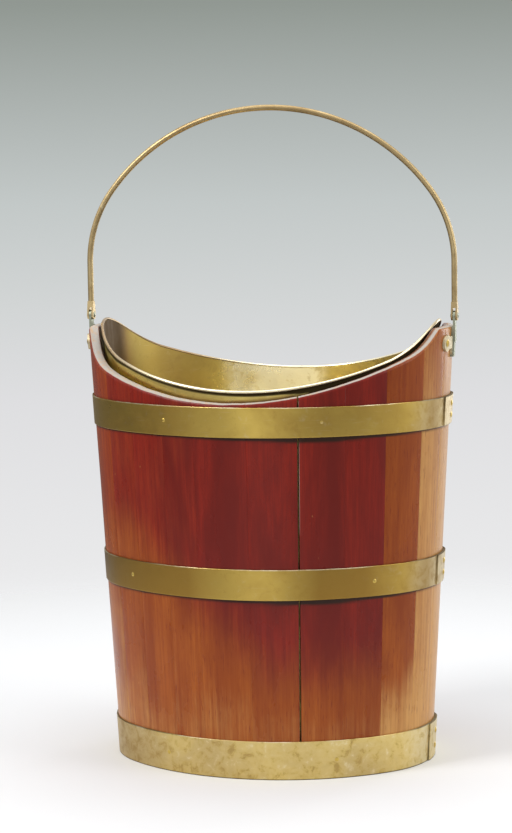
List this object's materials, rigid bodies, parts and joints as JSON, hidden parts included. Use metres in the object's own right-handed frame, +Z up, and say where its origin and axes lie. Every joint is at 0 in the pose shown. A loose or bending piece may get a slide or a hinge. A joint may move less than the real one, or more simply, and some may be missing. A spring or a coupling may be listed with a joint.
{
  "type": "peat bucket",
  "caption": "Oval coopered hearth bucket: tapering wooden staves with a scooped rim, brass hoops, a lift-out brass liner and a swinging bail handle.",
  "frame": {"origin": "middle of the footprint, on the floor", "axes": "+Z up, +X along the long way of the oval towards the end where the hoops are lapped, -Y the side that the picture shows"},
  "size_m": [0.3614, 0.27, 0.6194],
  "materials": {
    "stave_wood": "polished mahogany, red-brown, worn pale along the rim",
    "bottom_wood": "plain planed board",
    "hoop_brass": "aged olive-toned sheet brass, rubbed along the edges",
    "fastener_brass": "small hand-set brass heads",
    "bracket_brass": "dull grey-green cast brass",
    "bail_brass": "brown-patinated drawn brass rod",
    "liner_brass": "bright sheet brass with soft dents and stains"
  },
  "bodies": {
    "bucket": {"stave_01": "stave_wood", "stave_02": "stave_wood", "stave_03": "stave_wood", "stave_04": "stave_wood", "stave_05": "stave_wood", "stave_06": "stave_wood", "stave_07": "stave_wood", "stave_08": "stave_wood", "stave_09": "stave_wood", "stave_10": "stave_wood", "stave_11": "stave_wood", "stave_12": "stave_wood", "stave_13": "stave_wood", "stave_14": "stave_wood", "stave_15": "stave_wood", "stave_16": "stave_wood", "stave_17": "stave_wood", "stave_18": "stave_wood", "stave_19": "stave_wood", "stave_20": "stave_wood", "stave_21": "stave_wood", "stave_22": "stave_wood", "bottom_board_1": "bottom_wood", "bottom_board_2": "bottom_wood", "bottom_board_3": "bottom_wood", "base_hoop": "hoop_brass", "middle_hoop": "hoop_brass", "upper_hoop": "hoop_brass", "base_hoop_rivets": "fastener_brass", "middle_hoop_rivets": "fastener_brass", "upper_hoop_rivets": "fastener_brass", "hoop_pins": "fastener_brass", "right_bracket": "bracket_brass", "left_bracket": "bracket_brass", "right_bracket_screws": "fastener_brass", "left_bracket_screws": "fastener_brass"},
    "bail": {"bail_handle": "bail_brass", "right_pivot_pin": "bracket_brass", "left_pivot_pin": "bracket_brass"},
    "liner": {"liner_bottom": "liner_brass", "liner_wall": "liner_brass", "liner_rolled_rim": "liner_brass"}
  },
  "joints": [
    {"name": "bail_swing", "type": "hinge", "parent": "bucket", "child": "bail", "pos_m": [0, 0, 0.4212], "axis": [1, 0, 0], "range_deg": [-110, 110]},
    {"name": "liner_lift", "type": "slide", "parent": "bucket", "child": "liner", "axis": [0, 0, 1], "range_m": [0, 0.09]}
  ]
}
